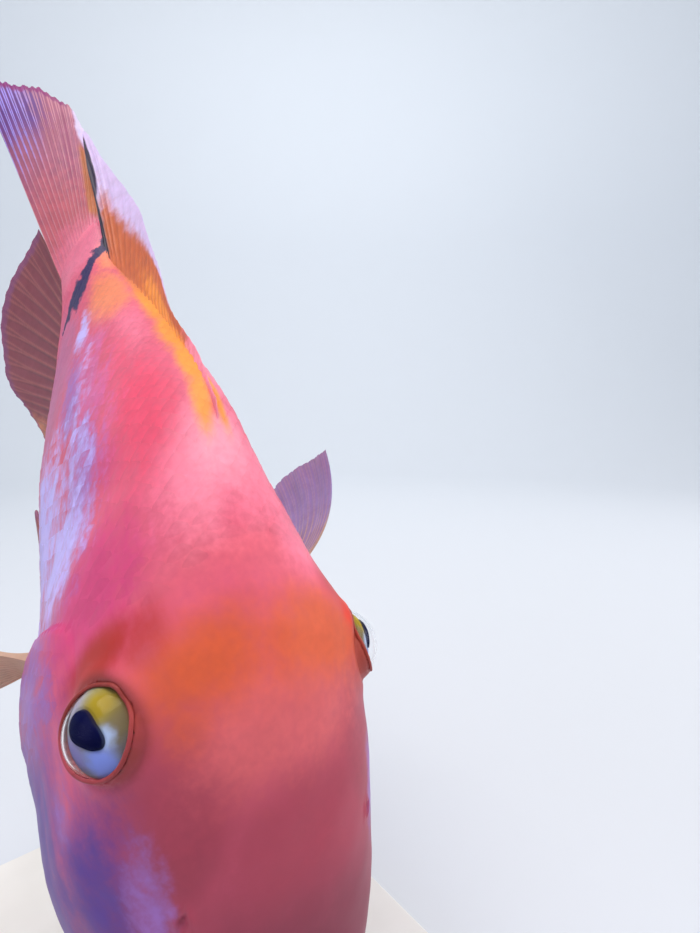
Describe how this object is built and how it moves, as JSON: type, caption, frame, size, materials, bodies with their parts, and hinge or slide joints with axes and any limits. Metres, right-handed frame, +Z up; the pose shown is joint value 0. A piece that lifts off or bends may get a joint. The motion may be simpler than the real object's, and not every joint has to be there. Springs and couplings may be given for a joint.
{
  "type": "redhead cichlid, still display model",
  "caption": "Still, life-size redhead cichlid, nose down with spread pectoral fins and a turned tail fin, held by two rods on a flat square display base.",
  "frame": {"origin": "centre of the stand's underside, on the floor", "axes": "+Z up; the fish heads along -Y with its nose down, and its right side is towards -X"},
  "size_m": [0.15, 0.2041, 0.2892],
  "materials": {
    "flesh": "wet satin, red to pink with lilac patches",
    "fin": "thin rayed membrane, orange and rose",
    "eye": "polished, gold-green iris round a dark pupil",
    "stand_paint": "satin off-white paint",
    "stand_rod": "brushed"
  },
  "bodies": {
    "root": {"head": "flesh", "torso": "flesh", "tail": "flesh", "gill_cover_right": "flesh", "gill_cover_left": "flesh", "eye_right": "eye", "eye_left": "eye", "dorsal_fin": "fin", "anal_fin": "fin", "caudal_fin": "fin", "pectoral_fin_right": "fin", "pectoral_fin_left": "fin", "pelvic_fin_right": "fin", "pelvic_fin_left": "fin", "stand_base": "stand_paint", "stand_rod_front": "stand_rod", "stand_rod_rear": "stand_rod"}
  },
  "joints": []
}
